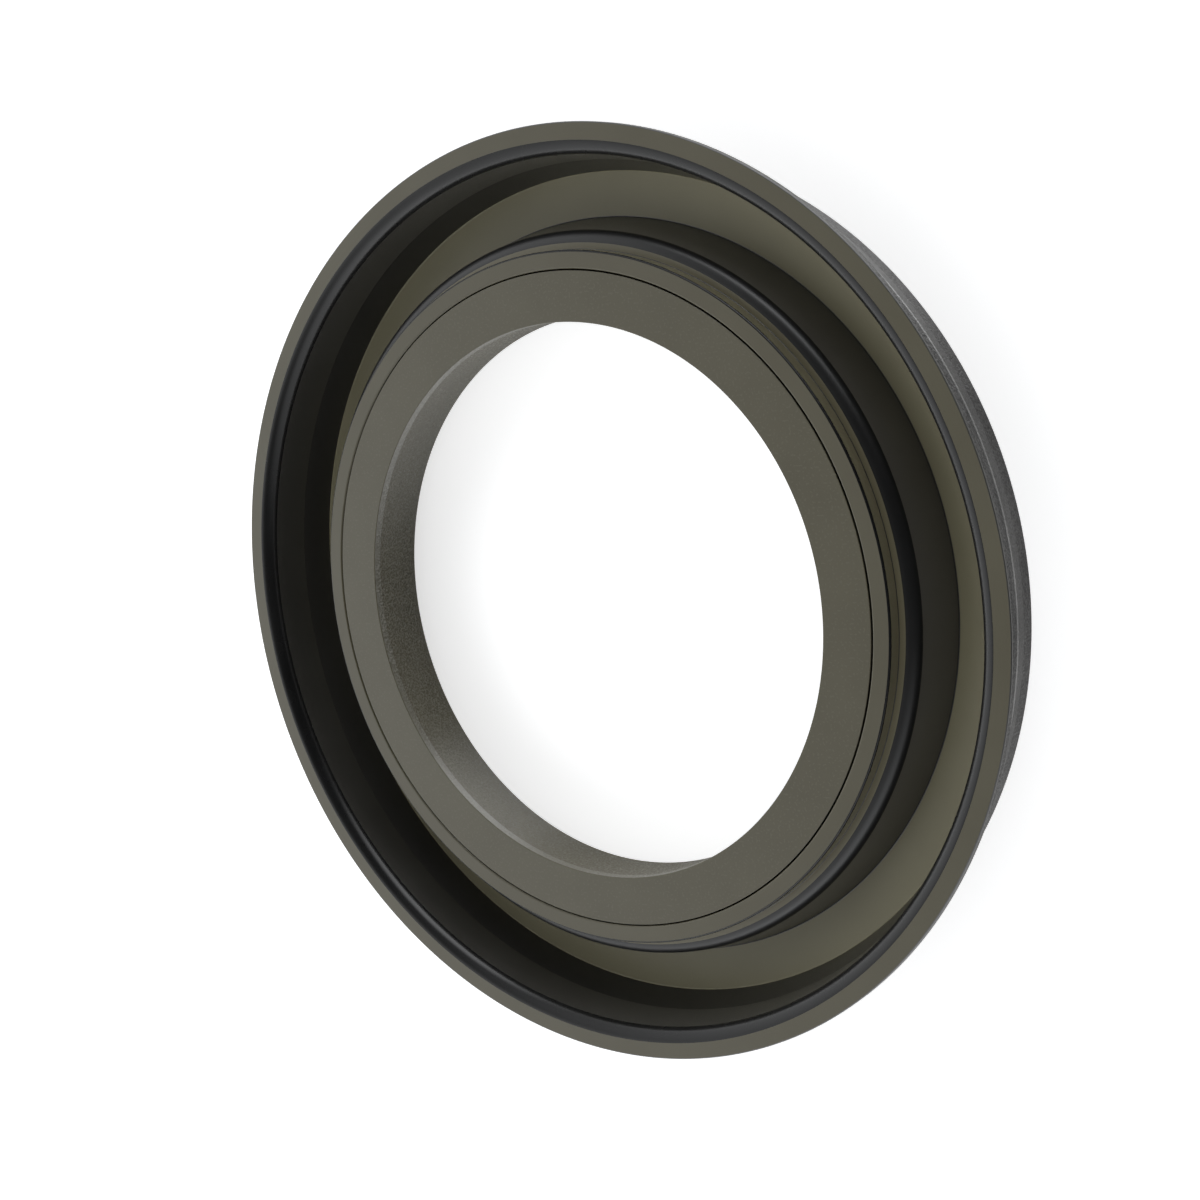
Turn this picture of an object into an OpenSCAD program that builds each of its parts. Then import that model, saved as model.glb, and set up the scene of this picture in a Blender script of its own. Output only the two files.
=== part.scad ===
// Shaft seal with a collared steel case, for a 45 mm shaft in a 72 mm housing bore.
// It lies flat on its back face, centred on the Z axis. Z is the shaft's axis and
// points to the open front, where the collar is. All sizes are in millimetres.

/* [Seal] */
// Diameter of the shaft that the seal runs on
shaft_d = 45; // [42:0.5:48]
// Diameter of the housing bore that the case is pressed into
housing_d = 72; // [70:0.5:74]
// Width from the back face to the front of the collar
width = 8; // [7:0.1:10]

/* [Case, outside] */
// Outside diameter of the collar that stops the case at the housing's face
collar_d = 75; // [74:0.1:80]
// Thickness of the collar
collar_t = 0.65; // [0.5:0.05:1]
// Height above the back face at which the press-fit wall starts to lean in
lead_z = 3.7; // [3:0.1:5]
// Diameter of the tail, behind the lead-in taper
tail_d = 70.8; // [69:0.1:71.5]
// Bend radius where the press-fit wall turns into the taper
lead_r = 1.25; // [0.5:0.05:4]
// Rounding of the tail's back edge
tail_r = 0.1; // [0.05:0.05:0.5]

/* [Case, open channel] */
// Width of the flat ring on the front of the collar
land_w = 1.36; // [1:0.02:2]
// Rounding from that flat ring down into the channel
mouth_r = 1.05; // [0.5:0.05:1.5]
// Lean of the channel's upper wall, in degrees
wall_lean = 5.6; // [0:0.1:10]
// Height above the back face of the fold in the channel's outer wall
fold_z = 3.94; // [3:0.01:5]
// Diameter of the channel's floor, where the outer wall meets it
floor_d = 67.95; // [66:0.05:69]
// Thickness of the floor
floor_t = 1.4; // [1:0.05:2]
// Small radius in both corners of the floor
floor_r = 0.1; // [0.05:0.05:0.5]

/* [Case, hub] */
// Diameter of the hub, where it rises from the floor
hub_d = 60.84; // [58:0.02:64]
// Lean of the hub's wall, in degrees
hub_lean = 13.4; // [0:0.1:20]
// Rounding of the hub's shoulder
shoulder_r = 1; // [0.5:0.01:2]
// Depth of the shoulder's flat below the front of the collar
shoulder_drop = 1.97; // [1.5:0.01:3]
// Outside diameter of the raised collar round the sealing ring
spigot_d = 56; // [54:0.1:57.5]
// Depth of the raised collar's face below the front of the case
spigot_drop = 0.7; // [0:0.05:1.2]
// Edge break on the raised collar
spigot_edge = 0.15; // [0.05:0.01:0.3]
// Diameter of the opening in the back
back_d = 49.5; // [48:0.1:52]

/* [Sealing ring] */
// Outside diameter, a press fit in the hub
ring_d = 53.1; // [52:0.1:54]
// Height of the ring's back face above the back of the case
ring_z = 1.7; // [1.4:0.05:2.5]
// Length of the straight land that runs on the shaft
land_h = 0.72; // [0.5:0.01:2]
// Relief of the bore behind the land, in degrees
relief = 4.3; // [0:0.1:8]
// Length of the lead on the outside at the front
lead_h = 0.9; // [0.3:0.1:2]
// Depth of that lead, which leaves the fine circular gap in the face
lead_gap = 0.11; // [0.05:0.01:0.3]
// Edge break on the ring's back corners
ring_edge = 0.2; // [0.1:0.05:0.5]

/* [View] */
// Piece to show

/* [Hidden] */
$fn = 180;

face_z = width - spigot_drop;            // front of the sealing ring and its collar
shelf_z = width - shoulder_drop;         // flat on the hub's shoulder
collar_z = width - collar_t;             // back of the collar, seated on the housing
// The mouth's rounding takes this much of the collar's face, and starts where the flat ring ends.
mouth_k = mouth_r * tan(45 - wall_lean / 2);
mouth_x = collar_d / 2 - land_w - mouth_k;
// The channel's upper wall leans in from there down to the fold.
fold_x = mouth_x - (width - fold_z) * tan(wall_lean);
// The hub's wall leans in from the floor up to its shoulder.
hub_x = hub_d / 2 - (shelf_z - floor_t) * tan(hub_lean);

// One corner of a section: distance from the axis, height and rounding radius.
function corner(x, z, r = 0) = [x, z, r];
function at(c) = [c[0], c[1]];
function unit(v) = v / norm(v);
// How far from corner p a rounding of radius r touches the sides to a and b.
function reach(a, p, b, r) = r * tan(acos(unit(p - a) * unit(b - p)) / 2);
// Centre of that rounding, on the line that halves the corner.
function middle(a, p, b, r) =
    p + unit(unit(a - p) + unit(b - p)) * norm([r, reach(a, p, b, r)]);
// Above zero where the outline, drawn anticlockwise, has an outside corner.
function bulge(a, p, b) = cross(p - a, b - p);

// The material between a sharp corner and its rounding.
module web(a, p, b, r) {
    k = reach(a, p, b, r);
    difference() {
        polygon([p, p + k * unit(a - p), p + k * unit(b - p)]);
        translate(middle(a, p, b, r)) circle(r);
    }
}

// A section with every corner rounded: outside corners lose their web, inside ones gain it.
module section(c) {
    n = len(c);
    module webs(sign) {
        for (i = [0 : n - 1]) {
            a = at(c[(i + n - 1) % n]);
            p = at(c[i]);
            b = at(c[(i + 1) % n]);
            if (c[i][2] > 0 && sign * bulge(a, p, b) > 0) web(a, p, b, c[i][2]);
        }
    }
    difference() {
        union() {
            polygon([for (q = c) at(q)]);
            webs(-1);
        }
        webs(1);
    }
}

// One-piece case: collar, press-fit wall, lead-in taper, floor, hub and raised collar.
module case() {
    color([0.36, 0.35, 0.30])
    rotate_extrude() section([
        corner(back_d / 2, 0, 0.3),
        corner(tail_d / 2, 0, tail_r),
        corner(tail_d / 2, floor_t),
        corner(housing_d / 2, lead_z, lead_r),
        corner(housing_d / 2, collar_z),
        corner(collar_d / 2, collar_z, 0.1),
        corner(collar_d / 2, width, 0.1),
        corner(mouth_x, width, mouth_r),
        corner(fold_x, fold_z),
        corner(floor_d / 2, floor_t, floor_r),
        corner(hub_d / 2, floor_t, floor_r),
        corner(hub_x, shelf_z, shoulder_r),
        corner(spigot_d / 2, shelf_z),
        corner(spigot_d / 2, face_z, spigot_edge),
        corner(ring_d / 2, face_z, spigot_edge),
        corner(ring_d / 2, ring_z),
        corner(back_d / 2, ring_z, 0.2)
    ]);
}

// Solid ring pressed into the hub against its back shoulder. The bore has a short
// straight land at the front and opens slightly behind it.
module sealing_ring() {
    bore_r = shaft_d / 2;
    back_r = bore_r + (face_z - land_h - ring_z) * tan(relief);
    color([0.30, 0.29, 0.26])
    rotate_extrude() section([
        corner(back_r, ring_z, ring_edge),
        corner(ring_d / 2, ring_z, ring_edge),
        corner(ring_d / 2, face_z - lead_h),
        corner(ring_d / 2 - lead_gap, face_z),
        corner(bore_r, face_z, 0.06),
        corner(bore_r, face_z - land_h)
    ]);
}

case();
sealing_ring();
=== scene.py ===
# %% [markdown]
# # A collared shaft seal
# The seal keeps oil in where a 45 mm shaft leaves a housing. A turned steel case is pressed into
# the housing, and a plain ring of filled PTFE sits in its hub and runs on the shaft.
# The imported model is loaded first. Everything below is in metres, in the same frame: the seal
# lies on its back face at z = 0, and its collared, open front looks up.

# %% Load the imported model
import math
import bpy
import numpy as np
from mathutils import Matrix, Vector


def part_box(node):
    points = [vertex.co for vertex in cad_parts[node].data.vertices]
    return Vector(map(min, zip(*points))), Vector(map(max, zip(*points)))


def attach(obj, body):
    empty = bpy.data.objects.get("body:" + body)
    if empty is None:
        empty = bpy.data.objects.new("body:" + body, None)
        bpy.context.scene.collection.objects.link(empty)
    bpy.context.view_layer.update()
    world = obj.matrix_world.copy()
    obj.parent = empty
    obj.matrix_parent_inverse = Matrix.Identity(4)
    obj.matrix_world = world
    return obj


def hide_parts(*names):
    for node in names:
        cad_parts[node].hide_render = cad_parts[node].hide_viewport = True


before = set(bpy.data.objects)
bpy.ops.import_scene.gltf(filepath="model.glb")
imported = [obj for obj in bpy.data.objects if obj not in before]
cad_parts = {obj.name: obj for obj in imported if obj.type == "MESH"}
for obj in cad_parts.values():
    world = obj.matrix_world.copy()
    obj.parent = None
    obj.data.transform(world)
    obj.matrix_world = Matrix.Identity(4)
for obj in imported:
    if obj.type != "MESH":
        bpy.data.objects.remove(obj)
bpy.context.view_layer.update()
MM, MICRON = 0.001, 0.000001
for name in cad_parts:
    low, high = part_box(name)
    print(name, "is", [round((b - a) / MM, 2) for a, b in zip(low, high)], "mm")

# %% [markdown]
# ## Reading a turned part as one line
# Every surface of the seal is turned about the shaft's axis, so each piece is fully described by
# the outline of one half of its section. The outline could be drawn with a curve and a Screw
# modifier, but worked out as arrays it keeps exact tangents, and exact tangents give exact
# shading on the flat faces right up to their rounded edges.
# A corner is [distance from the axis, height, rounding radius], all in millimetres, and then the
# finish of its rounding and the finish of the side that follows it.

# %% Helpers for a rounded outline
EDGE = 0.05          # smallest edge break, in mm: no edge of a real part is perfectly sharp
ARC_STEP = 9         # most degrees between two points of a rounding
# Finishes of the case, and then of the sealing ring, in the order of their materials.
# Of the case's finishes, the channel's walls, its inside corners, the hub's wall, the mouth and the
# shoulder carry painted shade, the floor and the shelf painted light, and the bend a painted
# highlight. Of the ring's, the gap carries painted shade.
SKIN, WALL_SHADE, FOOT_SHADE, FLOOR_LIGHT, HUB_SHADE, SHELF_LIGHT, MOUTH_SHADE, SHOULDER_SHADE, WORN, BEND_HIGHLIGHT = range(10)
FACE, BORE, LAND, GAP_SHADE = range(4)


def straight(a, b, pitch=0.7):
    """Points from a up to b, not b itself: a + (b - a) t, with t in equal steps of about pitch.
    The normal is the side's direction turned a quarter to its outer side."""
    count = max(1, int(np.ceil(np.linalg.norm(b - a) / pitch)))
    t = np.arange(count)[:, None] / count
    way = (b - a) / np.linalg.norm(b - a)
    return a + (b - a) * t, np.tile([way[1], -way[0]], (count, 1))


def bend(a, p, b, r):
    """The arc of radius r that touches the sides a-p and p-b, with its outward normals.
    Its ends lie r tan(turn / 2) from p, and its centre is r to the inner side of either end.
    A normal is the unit vector from the centre, turned outwards on an inside corner."""
    u, w = (p - a) / np.linalg.norm(p - a), (b - p) / np.linalg.norm(b - p)
    turn = math.atan2(u[0] * w[1] - u[1] * w[0], u @ w)
    start = p - u * r * math.tan(abs(turn) / 2)
    side = math.copysign(1, turn)
    centre = start + side * r * np.array([-u[1], u[0]])
    steps = max(3, int(np.ceil(abs(math.degrees(turn)) / ARC_STEP)))
    angle = turn * np.linspace(0, 1, steps + 1)[:, None]
    spoke = start - centre
    arm = spoke * np.cos(angle) + np.array([-spoke[1], spoke[0]]) * np.sin(angle)
    return centre + arm, side * arm / r


def outline(corners):
    """Joins the bends with straights. Returns points, outward normals, the distance run to each
    point and the finish of the strip that starts there."""
    c = np.array(corners, float)
    bends = [bend(c[i - 1, :2], c[i, :2], c[(i + 1) % len(c), :2], max(c[i, 2], EDGE))
             for i in range(len(c))]
    points, normals, finish = [], [], []
    for here, after, pair in zip(bends, bends[1:] + bends[:1], c[:, 3:].astype(int)):
        line, faced = straight(here[0][-1], after[0][0])
        points += [here[0][:-1], line]
        normals += [here[1][:-1], faced]
        finish += [np.full(len(here[0]) - 1, pair[0]), np.full(len(line), pair[1])]
    points, normals, finish = map(np.concatenate, (points, normals, finish))
    gaps = np.linalg.norm(np.roll(points, -1, axis=0) - points, axis=1)
    run = np.concatenate([[0], np.cumsum(gaps)[:-1]])
    print(len(points), "points round a section", round(gaps.sum(), 1), "mm long")
    return points, normals, run, finish


# %% [markdown]
# ## From the outline to a surface
# The surface is a grid: one way round the section, the other way round the shaft's axis. Both
# ways close on themselves, so the mesh has no seam and no hole.
# The distance run round the section is kept on every vertex, because the lathe's tool marks
# follow it whichever way a face leans.

# %% Turn an outline into a mesh
def turned(name, corners, around=360):
    """Vertex (i, j) is (x_i cos t_j, x_i sin t_j, z_i), with t_j = 2 pi j / around.
    Its normal is the outline's own, turned by the same angle."""
    flat, faced, run, finish = outline(corners)
    t = 2 * np.pi * np.arange(around) / around
    spin = np.stack([np.cos(t), np.sin(t)])

    def lift(v):
        """Rows of (distance from the axis, height), each repeated all the way round."""
        return np.stack([v[:, :1] * spin[0], v[:, :1] * spin[1],
                         np.repeat(v[:, 1:], around, axis=1)], axis=-1).reshape(-1, 3)

    i, j = np.meshgrid(np.arange(len(flat)), np.arange(around), indexing="ij")
    i2, j2 = (i + 1) % len(flat), (j + 1) % around
    quads = np.stack([i * around + j, i * around + j2, i2 * around + j2, i2 * around + j],
                     axis=-1).reshape(-1, 4)
    mesh = bpy.data.meshes.new(name)
    mesh.from_pydata(lift(flat * MM), [], quads)
    mesh.polygons.foreach_set("use_smooth", np.ones(len(quads), bool))
    mesh.polygons.foreach_set("material_index", np.repeat(finish, around).astype(np.int32))
    mesh.normals_split_custom_set_from_vertices(lift(faced))
    mesh.attributes.new("tool_run", "FLOAT", "POINT").data.foreach_set(
        "value", np.repeat(run, around).astype(np.float32))
    piece = bpy.data.objects.new(name, mesh)
    bpy.context.scene.collection.objects.link(piece)
    print(name, "has", len(quads) * 2, "triangles")
    return piece


# %% [markdown]
# ## The case
# One turned piece of steel. From the back: the tail, the lead-in taper that guides it into the
# housing, the press-fit wall, the thin collar that stops it, the mouth of the open channel, the
# channel's two-angled wall, the floor, and the hub: a leaning wall, a rounded shoulder and a
# raised collar round the sealing ring.
# Its sizes get names first, because the leaning walls are worked out from them.

# %% Sizes of the case, in millimetres
# Distances from the axis: opening in the back, tail, press-fit wall and rim of the collar,
# and then the channel's floor, the hub's foot, the raised collar and the ring's seat.
back_r, tail_r, press_r, rim_r = 24.75, 35.4, 36.0, 37.5
floor_r, hub_r, raised_r, seat_r = 33.975, 30.42, 28.0, 26.55
# Heights above the back face: front and back of the collar, end of the taper and fold in the
# wall, and then the floor, the flat on the hub, the ring's face and the ring's back.
front_z, collar_z, taper_z, fold_z = 8.0, 7.35, 3.7, 3.94
floor_z, shelf_z, face_z, seat_z = 1.4, 6.03, 7.3, 1.7
# The large roundings: where the taper ends, the mouth of the channel and the hub's shoulder.
taper_round, mouth_round, shoulder_round = 1.25, 1.05, 1.0
land_w = 1.36        # width of the flat ring on the collar's front, up to the mouth's rounding
wall_lean, hub_lean = math.radians(5.6), math.radians(13.4)

mouth_r = rim_r - land_w - mouth_round * math.tan(math.pi / 4 - wall_lean / 2)
fold_r = mouth_r - (front_z - fold_z) * math.tan(wall_lean)
shoulder_r = hub_r - (shelf_z - floor_z) * math.tan(hub_lean)
print("from the axis: mouth", round(mouth_r, 2), "fold", round(fold_r, 2),
      "shoulder", round(shoulder_r, 2), "mm")

# %% Make the case
# The words after each corner name its rounding, if that is more than an edge, and the side
# that follows it.
# Dark finishes on the outer edges of the collar's front and of the raised collar draw thin lines of
# painted shade.
case_corners = [
    [back_r, 0.0, 0.3, SKIN, SKIN],                          # back face
    [tail_r, 0.0, 0.1, WORN, WORN],                          # tail
    [tail_r, floor_z, 0.12, WORN, WORN],                     # lead-in taper
    [press_r, taper_z, taper_round, BEND_HIGHLIGHT, WORN],           # bend, press-fit wall
    [press_r, collar_z, 0.05, WORN, WORN],                   # back of the collar
    [rim_r, collar_z, 0.1, WORN, WORN],                      # rim of the collar
    [rim_r, front_z, 0.1, WALL_SHADE, SKIN],                       # front of the collar
    [mouth_r, front_z, mouth_round, MOUTH_SHADE, WALL_SHADE],            # mouth, upper wall of the channel
    [fold_r, fold_z, 0.1, FOOT_SHADE, FOOT_SHADE],                       # lower wall of the channel
    [floor_r, floor_z, 0.1, FLOOR_LIGHT, FLOOR_LIGHT],                   # floor of the channel
    [hub_r, floor_z, 0.1, FOOT_SHADE, HUB_SHADE],                        # wall of the hub
    [shoulder_r, shelf_z, shoulder_round, SHOULDER_SHADE, SHELF_LIGHT],  # shoulder, shelf
    [raised_r, shelf_z, 0.05, FOOT_SHADE, SHELF_LIGHT],                  # outside of the raised collar
    [raised_r, face_z, 0.15, MOUTH_SHADE, SKIN],                   # face of the raised collar
    [seat_r, face_z, 0.15, SKIN, FOOT_SHADE],                      # seat of the sealing ring
    [seat_r, seat_z, 0.05, SKIN, SKIN],                      # back shoulder
    [back_r, seat_z, 0.2, SKIN, SKIN],                       # opening in the back
]
seal_case = turned("seal_case", case_corners)
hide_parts("case")
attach(seal_case, "root")

# %% [markdown]
# ## The sealing ring
# A plain solid ring. Only the first 0.7 mm of its bore is straight and touches the shaft; behind
# it the bore opens by about four degrees. Its outside leads in slightly at the front, and that
# lead is coloured near-black: painted shade that draws the fine dark circle between the ring and
# the case.

# %% Make the sealing ring
shaft_r = 22.5
land_h, lead_h, lead_gap = 0.72, 0.9, 0.11     # land, and the lead's length and depth
relief_lean = math.radians(4.3)
relief_r = shaft_r + (face_z - land_h - seat_z) * math.tan(relief_lean)
# The lead round the ring's outside gets a near-black finish: painted shade in the gap.
ring_corners = [
    [relief_r, seat_z, 0.2, FACE, FACE],                     # back face
    [seat_r, seat_z, 0.2, FACE, FACE],                       # outside, in the seat
    [seat_r, face_z - lead_h, 0.05, GAP_SHADE, GAP_SHADE],               # lead
    [seat_r - lead_gap, face_z, 0.05, FACE, FACE],           # front face
    [shaft_r, face_z, 0.06, FACE, LAND],                     # land
    [shaft_r, face_z - land_h, 0.05, BORE, BORE],            # relief behind the land
]
shaft_ring = turned("shaft_ring", ring_corners)
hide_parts("sealing_ring")
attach(shaft_ring, "root")

# %% [markdown]
# ## Finishes
# Both pieces are dark olive-grey and satin. Phosphated steel is a skin of fine crystals soaked in
# oil: its colour is cloudy, and a grain of about a tenth of a millimetre breaks its gloss.
# One finish for the whole case would be simpler; here it is split into lit and shaded copies.
# The open faces are olive. The channel's wall is coloured nearly black and the hub's wall dark,
# both shinier: painted shade. The floor and the shelf are coloured paler: painted light that
# undoes the channel's shade. The channel's mouth, the hub's shoulder and the raised collar's
# outer edge are smooth and almost black, and the sharp inside corners are dark: painted shade.
# Fitting and handling have worn the outside to bare, neutral steel; the bend into its taper is
# coloured a shade paler, a painted highlight.
# Filled PTFE is smoother and carries a faint speckle of its filler.
# The grain and clouds could be painted textures, but noise read from the object's own
# coordinates has no seam and no stretching.

# %% Helpers to start and to fit a finish
def new_finish(name):
    """An empty material with its node tree, its Principled shader and its coordinates."""
    finish = bpy.data.materials.new(name)
    finish.use_nodes = True
    tree = finish.node_tree
    shader = tree.nodes["Principled BSDF"]
    where = tree.nodes.new("ShaderNodeTexCoord").outputs["Object"]
    return finish, tree, shader, where


def put_on(piece, finish):
    """Adds the finish as the piece's next material. The order is that of the outline's finishes."""
    piece.data.materials.append(finish)
    print(finish.name, "has", len(finish.node_tree.nodes), "nodes")


# %% Helpers for patterns and relief
def noise(tree, where, scale, detail=2.0, kind="3D"):
    """Noise with scale features to one unit of the given place: a metre, or a mm of tool run."""
    n = tree.nodes.new("ShaderNodeTexNoise")
    n.noise_dimensions = kind
    n.inputs["Scale"].default_value = scale
    n.inputs["Detail"].default_value = detail
    tree.links.new(where, n.inputs["W" if kind == "1D" else "Vector"])
    return n.outputs["Fac"]


def spread(tree, fac, low, high, start=0.3, end=0.7):
    """low + (high - low) (fac - start) / (end - start), held between low and high. Noise stays
    near its middle, so it is spread from 0.3 to 0.7."""
    m = tree.nodes.new("ShaderNodeMapRange")
    for socket, value in zip(("From Min", "From Max", "To Min", "To Max"), (start, end, low, high)):
        m.inputs[socket].default_value = value
    tree.links.new(fac, m.inputs["Value"])
    return m.outputs["Result"]


def blend(tree, fac, first, second):
    """first (1 - fac) + second fac. Each colour is a tuple or the output of another node."""
    m = tree.nodes.new("ShaderNodeMix")
    m.data_type = "RGBA"
    # A Mix node keeps sockets for every kind of value. For colours, A is 6, B is 7, Result is 2.
    for socket, colour in ((m.inputs[6], first), (m.inputs[7], second)):
        if isinstance(colour, tuple):
            socket.default_value = (*colour, 1)
        else:
            tree.links.new(colour, socket)
    tree.links.new(fac, m.inputs[0])
    return m.outputs[2]


def bump(tree, height, depth, strength, normal=None):
    """Relief that stands depth metres high where height is 1, on top of another relief if given."""
    b = tree.nodes.new("ShaderNodeBump")
    b.inputs["Strength"].default_value = strength
    b.inputs["Distance"].default_value = depth
    tree.links.new(height, b.inputs["Height"])
    if normal:
        tree.links.new(normal, b.inputs["Normal"])
    return b.outputs["Normal"]


def tool_run(tree):
    """The distance run round the section, in millimetres, which the mesh keeps on its points."""
    n = tree.nodes.new("ShaderNodeAttribute")
    n.attribute_name = "tool_run"
    return n.outputs["Fac"]


# %% Phosphated steel
SATIN, DRAWN = (0.32, 0.40), (0.30, 0.36)      # lowest and highest roughness


def phosphated(name, dark, pale, gloss, rough):
    """The case's skin: clouds between two colours, crystal grain, and feed marks round the axis."""
    finish, tree, shader, where = new_finish(name)
    clouds = spread(tree, noise(tree, where, scale=140, detail=3), low=0.0, high=1.0)
    tree.links.new(blend(tree, clouds, dark, pale), shader.inputs["Base Color"])
    grain = noise(tree, where, scale=9000, detail=1)
    tree.links.new(spread(tree, grain, *rough), shader.inputs["Roughness"])
    feed = noise(tree, tool_run(tree), scale=9, detail=1, kind="1D")
    crystals = bump(tree, grain, depth=8 * MICRON, strength=0.4)
    relief = bump(tree, feed, depth=6 * MICRON, strength=0.3, normal=crystals)
    tree.links.new(relief, shader.inputs["Normal"])
    shader.inputs["Specular IOR Level"].default_value = gloss
    put_on(seal_case, finish)


phosphated("phosphated_steel", dark=(0.0735, 0.0652, 0.0378), pale=(0.083, 0.0745, 0.045),
           gloss=0.5, rough=SATIN)
# The five copies below are coloured for light and shade: the channel's wall, its foot and the hub's
# wall darker, as painted shade; the floor and the shelf paler, as painted light.
phosphated("wall_painted_shade", dark=(0.0265, 0.0253, 0.0222), pale=(0.033, 0.0318, 0.0282),
           gloss=1.0, rough=DRAWN)
phosphated("foot_painted_shade", dark=(0.013, 0.0123, 0.0105), pale=(0.017, 0.0162, 0.0140),
           gloss=0.95, rough=DRAWN)
phosphated("floor_painted_light", dark=(0.280, 0.257, 0.165), pale=(0.303, 0.279, 0.181),
           gloss=0.3, rough=SATIN)
phosphated("hub_wall_painted_shade", dark=(0.086, 0.081, 0.070), pale=(0.097, 0.092, 0.080),
           gloss=1.0, rough=DRAWN)
phosphated("shelf_painted_light", dark=(0.152, 0.137, 0.086), pale=(0.166, 0.150, 0.095),
           gloss=0.5, rough=SATIN)

# %% Roundings coloured almost black, as painted shade
def shaded_rounding(name, gloss, rough):
    """A rounding coloured almost black, as painted shade, with fine lines along its section."""
    finish, tree, shader, where = new_finish(name)
    clouds = spread(tree, noise(tree, where, scale=160, detail=3), low=0.0, high=1.0)
    colour = blend(tree, clouds, (0.005, 0.005, 0.005), (0.008, 0.008, 0.008))
    tree.links.new(colour, shader.inputs["Base Color"])
    polish = spread(tree, noise(tree, where, scale=400, detail=1), *rough)
    tree.links.new(polish, shader.inputs["Roughness"])
    lines = noise(tree, tool_run(tree), scale=4, detail=1, kind="1D")
    relief = bump(tree, lines, depth=MICRON, strength=0.3)
    tree.links.new(relief, shader.inputs["Normal"])
    shader.inputs["Specular IOR Level"].default_value = gloss
    put_on(seal_case, finish)


# The shoulder's highlight is wider and softer than the mouth's.
shaded_rounding("mouth_painted_shade", gloss=0.34, rough=(0.26, 0.28))
shaded_rounding("shoulder_painted_shade", gloss=0.52, rough=(0.33, 0.35))

# %% [markdown]
# The worn outside is bare steel, so it is a metal, and a dark one. Lathe marks run round it: they
# scatter light far along the axis and little round it, so a highlight is drawn out along the
# axis. Drawn marks would have to be finer than a pixel. The shader's anisotropy does it instead,
# with its tangent round the axis and turned by a quarter so that the scatter runs along.

# %% Worn steel outside
def turned_gloss(shader):
    """Draws the gloss out along the axis, as fine lathe marks do. The rotation is a share of a
    full turn."""
    shader.inputs["Anisotropic"].default_value = 1.0
    shader.inputs["Anisotropic Rotation"].default_value = 0.25


def worn_steel(name, dark, pale):
    """Bare steel with a sandy grain between two greys, and a gloss drawn out by lathe marks."""
    finish, tree, shader, where = new_finish(name)
    grain = noise(tree, where, scale=6000, detail=1)
    shade = spread(tree, grain, low=0.0, high=1.0)
    tree.links.new(blend(tree, shade, dark, pale), shader.inputs["Base Color"])
    clouds = noise(tree, where, scale=220, detail=3)
    tree.links.new(spread(tree, clouds, low=0.46, high=0.54), shader.inputs["Roughness"])
    relief = bump(tree, grain, depth=60 * MICRON, strength=1.0)
    tree.links.new(relief, shader.inputs["Normal"])
    shader.inputs["Metallic"].default_value = 1.0
    turned_gloss(shader)
    put_on(seal_case, finish)


worn_steel("worn_steel", dark=(0.094, 0.092, 0.090), pale=(0.176, 0.174, 0.171))
# The bend is a paler copy of the worn steel: a painted highlight.
worn_steel("bend_painted_highlight", dark=(0.24, 0.237, 0.233), pale=(0.36, 0.357, 0.352))

# %% [markdown]
# The ring's bore is turned as well, so it has the same drawn-out gloss. The tool has also left it
# a fine, sandy tooth, and the grains that lean towards the open front catch the light there. To
# model the grains would take millions of faces, so the shading leans with a noise instead.
# The short land is shinier than the relief behind it, because the shaft has polished it. The gap
# round the ring is coloured black: painted shade.

# %% Filled PTFE, for the ring's faces
def filled_ptfe(name, grain_size, rough):
    """The ring's finish: olive clouds, a speckle of filler, and a grain of the given size in
    features per metre. The relief is added by whoever calls it, from the grain."""
    finish, tree, shader, where = new_finish(name)
    clouds = spread(tree, noise(tree, where, scale=200), low=0.0, high=1.0)
    plain = blend(tree, clouds, (0.0745, 0.0665, 0.0393), (0.083, 0.0745, 0.045))
    filler = noise(tree, where, scale=5200, detail=0)
    speckle = spread(tree, filler, low=0.0, high=0.5, start=0.62, end=0.72)
    colour = blend(tree, speckle, plain, (0.105, 0.096, 0.065))
    tree.links.new(colour, shader.inputs["Base Color"])
    grain = noise(tree, where, scale=grain_size, detail=1)
    tree.links.new(spread(tree, grain, *rough), shader.inputs["Roughness"])
    shader.inputs["Specular IOR Level"].default_value = 0.5
    put_on(shaft_ring, finish)
    return tree, shader, grain


tree, shader, grain = filled_ptfe("filled_ptfe", grain_size=9000, rough=(0.31, 0.39))
tree.links.new(bump(tree, grain, depth=6 * MICRON, strength=0.5), shader.inputs["Normal"])

# %% The ring's bore and its land
def tooth(tree, fac, low, high):
    """Leans the surface's normal N towards the front: N + lean times the Z axis, made unit
    length, with a lean of low where fac is small and high where it is large."""
    normal = tree.nodes.new("ShaderNodeNewGeometry").outputs["Normal"]
    lean = tree.nodes.new("ShaderNodeCombineXYZ")
    tree.links.new(spread(tree, fac, low, high), lean.inputs["Z"])
    total = tree.nodes.new("ShaderNodeVectorMath")
    unit = tree.nodes.new("ShaderNodeVectorMath")
    unit.operation = "NORMALIZE"
    tree.links.new(normal, total.inputs[0])
    tree.links.new(lean.outputs["Vector"], total.inputs[1])
    tree.links.new(total.outputs["Vector"], unit.inputs[0])
    return unit.outputs["Vector"]


for name, ior in (("filled_ptfe_bore", 1.52), ("filled_ptfe_land", 1.8)):
    tree, shader, grain = filled_ptfe(name, grain_size=6000, rough=(0.42, 0.48))
    tree.links.new(tooth(tree, grain, low=0.0, high=0.9), shader.inputs["Normal"])
    turned_gloss(shader)
    shader.inputs["Specular IOR Level"].default_value = 1.0
    shader.inputs["IOR"].default_value = ior

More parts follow.
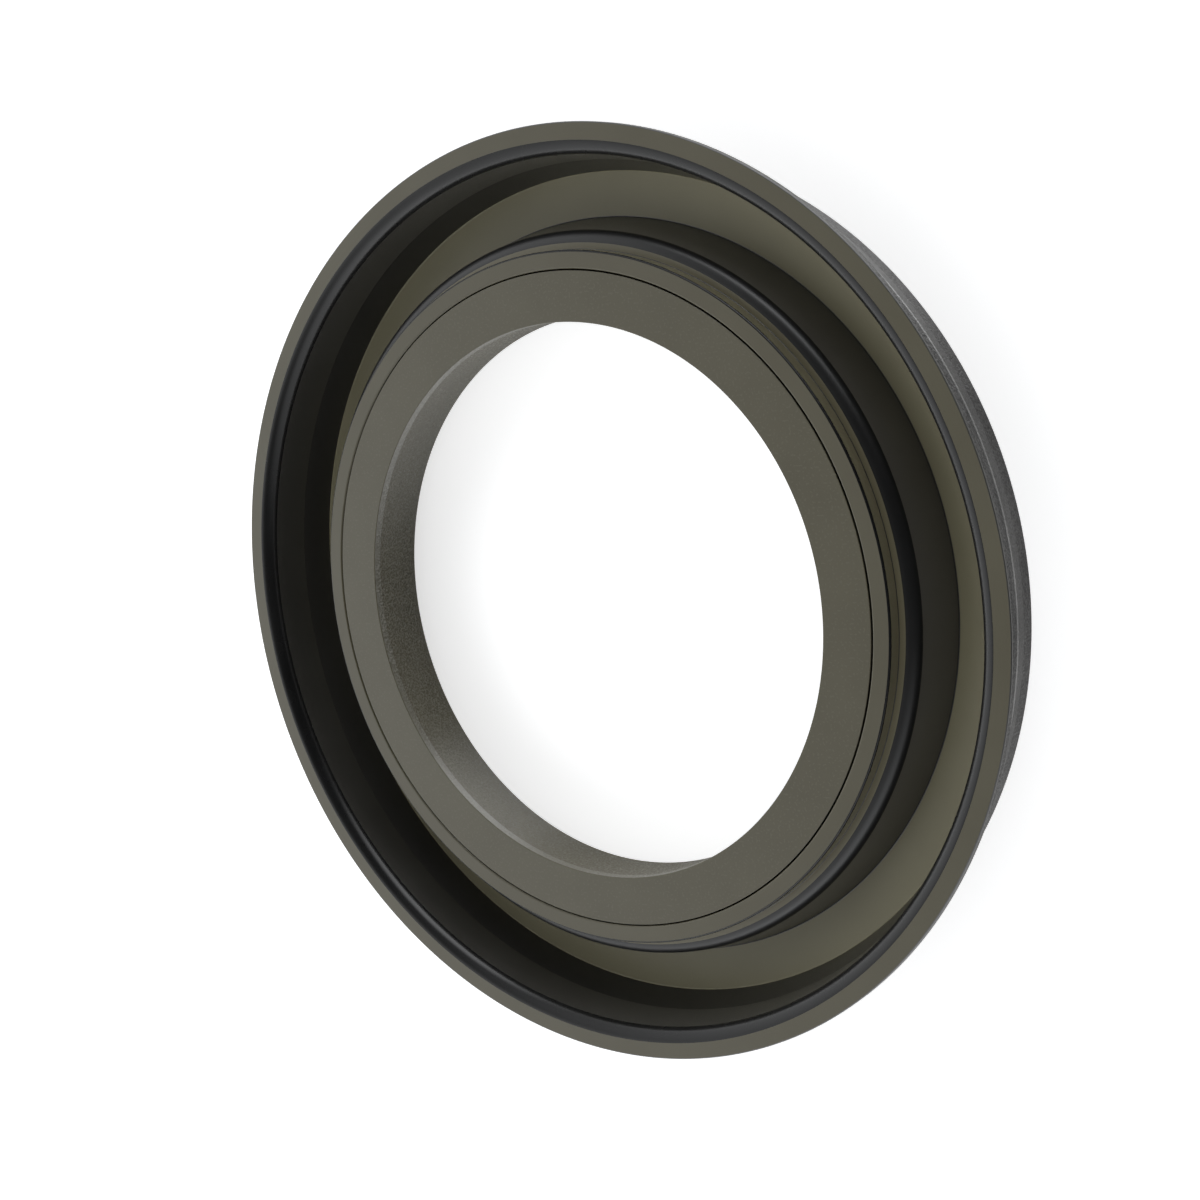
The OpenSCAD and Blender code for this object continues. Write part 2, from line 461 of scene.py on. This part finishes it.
# %% The gap round the ring, coloured near-black as painted shade
gap_finish, tree, shader, where = new_finish("gap_painted_shade")
gap_colour = blend(tree, noise(tree, where, scale=300), (0.008, 0.008, 0.007), (0.012, 0.012, 0.010))
tree.links.new(gap_colour, shader.inputs["Base Color"])
shader.inputs["Roughness"].default_value = 0.35
put_on(shaft_ring, gap_finish)

# %% [markdown]
# ## Floor and light
# The photograph shows the seal on plain white. A white floor gives that, with a soft shadow where
# the seal stands. Part of its whiteness is the floor's own glow for what looks straight at it or
# at its mirror image, so the light stays at a level at which the finishes look as they are
# written.

# %% Make the floor
def arithmetic(tree, operation, first, second):
    """One Math node. Each of its two inputs is a number or the output of another node."""
    m = tree.nodes.new("ShaderNodeMath")
    m.operation = operation
    for socket, value in zip(m.inputs, (first, second)):
        if isinstance(value, (int, float)):
            socket.default_value = value
        else:
            tree.links.new(value, socket)
    return m.outputs["Value"]


GLOW = 0.65          # what the lit floor lacks to be white in the picture
bpy.ops.mesh.primitive_plane_add(size=30.0)
floor = bpy.context.object
floor.name = "floor"
white, tree, shader, where = new_finish("white_floor")
shader.inputs["Base Color"].default_value = (0.85, 0.85, 0.85, 1)
shader.inputs["Roughness"].default_value = 0.9
shader.inputs["Specular IOR Level"].default_value = 0.0
ray = tree.nodes.new("ShaderNodeLightPath").outputs
looked_at = arithmetic(tree, "MAXIMUM", ray["Is Camera Ray"], ray["Is Glossy Ray"])
looked_at = arithmetic(tree, "MAXIMUM", looked_at, ray["Is Transmission Ray"])
tree.links.new(arithmetic(tree, "MULTIPLY", looked_at, GLOW), shader.inputs["Emission Strength"])
shader.inputs["Emission Color"].default_value = (1, 1, 1, 1)
put_on(floor, white)

# %% [markdown]
# The light is that of a studio with one long pale wall on the far side of the seal, a soft pale
# panel low at either side, and a dim room behind the camera. That is what makes the faces that
# look at the camera's side dark and the flat ones pale. A narrow white strip along the horizon
# carries the floor's white on, for views from low down. The wall and the panels could be meshes
# that glow, but as parts of the world they are never in the way of another view.

# %% Start the world
world = bpy.data.worlds.new("studio")
bpy.context.scene.world = world
world.use_nodes = True
tree = world.node_tree
back = tree.nodes["Background"]
sky = tree.nodes.new("ShaderNodeTexCoord").outputs["Generated"]
split = tree.nodes.new("ShaderNodeSeparateXYZ")
tree.links.new(sky, split.inputs[0])
rise = split.outputs["Z"]                      # sine of the angle above the horizon


def nearness(tree, sky, turn, height=0):
    """The cosine of the angle between the direction looked in and a fixed one, which is their
    dot product. The fixed one is turn degrees round from the X axis and height degrees up."""
    turn, height = math.radians(turn), math.radians(height)
    n = tree.nodes.new("ShaderNodeVectorMath")
    n.operation = "DOT_PRODUCT"
    tree.links.new(sky, n.inputs[0])
    n.inputs[1].default_value = (math.cos(height) * math.cos(turn),
                                 math.cos(height) * math.sin(turn), math.sin(height))
    return n.outputs["Value"]


def eased(tree, value, start, end, low, high):
    """As spread, but with a soft start and end: s = (value - start) / (end - start) is held
    between 0 and 1, and the result is low + (high - low) s s (3 - 2 s)."""
    out = spread(tree, value, low, high, start, end)
    out.node.interpolation_type = "SMOOTHSTEP"
    return out


# %% Place the wall, the panels and the horizon
far_side = nearness(tree, sky, turn=-168)
wall = arithmetic(tree, "MULTIPLY",
                  eased(tree, far_side, start=-0.55, end=0.95, low=0.0, high=1.6),
                  eased(tree, rise, start=0.74, end=0.98, low=1.0, high=0.08))
bright_panel = eased(tree, nearness(tree, sky, turn=74, height=8),
                     start=0.80, end=1.0, low=0.0, high=4.3)
dim_panel = eased(tree, nearness(tree, sky, turn=-75, height=12),
                  start=0.60, end=1.0, low=0.0, high=1.35)
room = eased(tree, rise, start=0.05, end=0.14, low=1.0, high=0.05)
panels = arithmetic(tree, "ADD", bright_panel, dim_panel)
light = arithmetic(tree, "ADD", arithmetic(tree, "ADD", wall, room), panels)
tree.links.new(light, back.inputs["Strength"])
back.inputs["Color"].default_value = (0.97, 0.985, 1.0, 1)
print("the world has", len(tree.nodes), "nodes")

# %% [markdown]
# ## Camera
# The photograph's view was solved from its circles: a 53 mm lens, 148 mm from the middle of the
# seal's back, looking down at it by about 51 degrees. The picture is turned so that the seal
# seems to stand up, so the camera's own axes are written down directly.

# %% Make the camera
camera = bpy.data.objects.new("camera", bpy.data.cameras.new("camera"))
camera.data.lens = 53.27
camera.data.sensor_width = 36.0
camera.data.clip_start, camera.data.clip_end = 0.005, 20.0
right, up = (0.79009, -0.10840, -0.60333), (0.0, 0.98424, -0.17684)
behind = (0.61299, 0.13972, 0.77764)
place = (0.088555, 0.020144, 0.116700)
axes = Matrix((right, up, behind)).transposed()
camera.matrix_world = Matrix.Translation(place) @ axes.to_4x4()
bpy.context.scene.collection.objects.link(camera)
bpy.context.scene.camera = camera
bpy.context.scene.view_settings.view_transform = "Standard"
print("the camera is", round(math.hypot(*place) / MM), "mm from the seal")
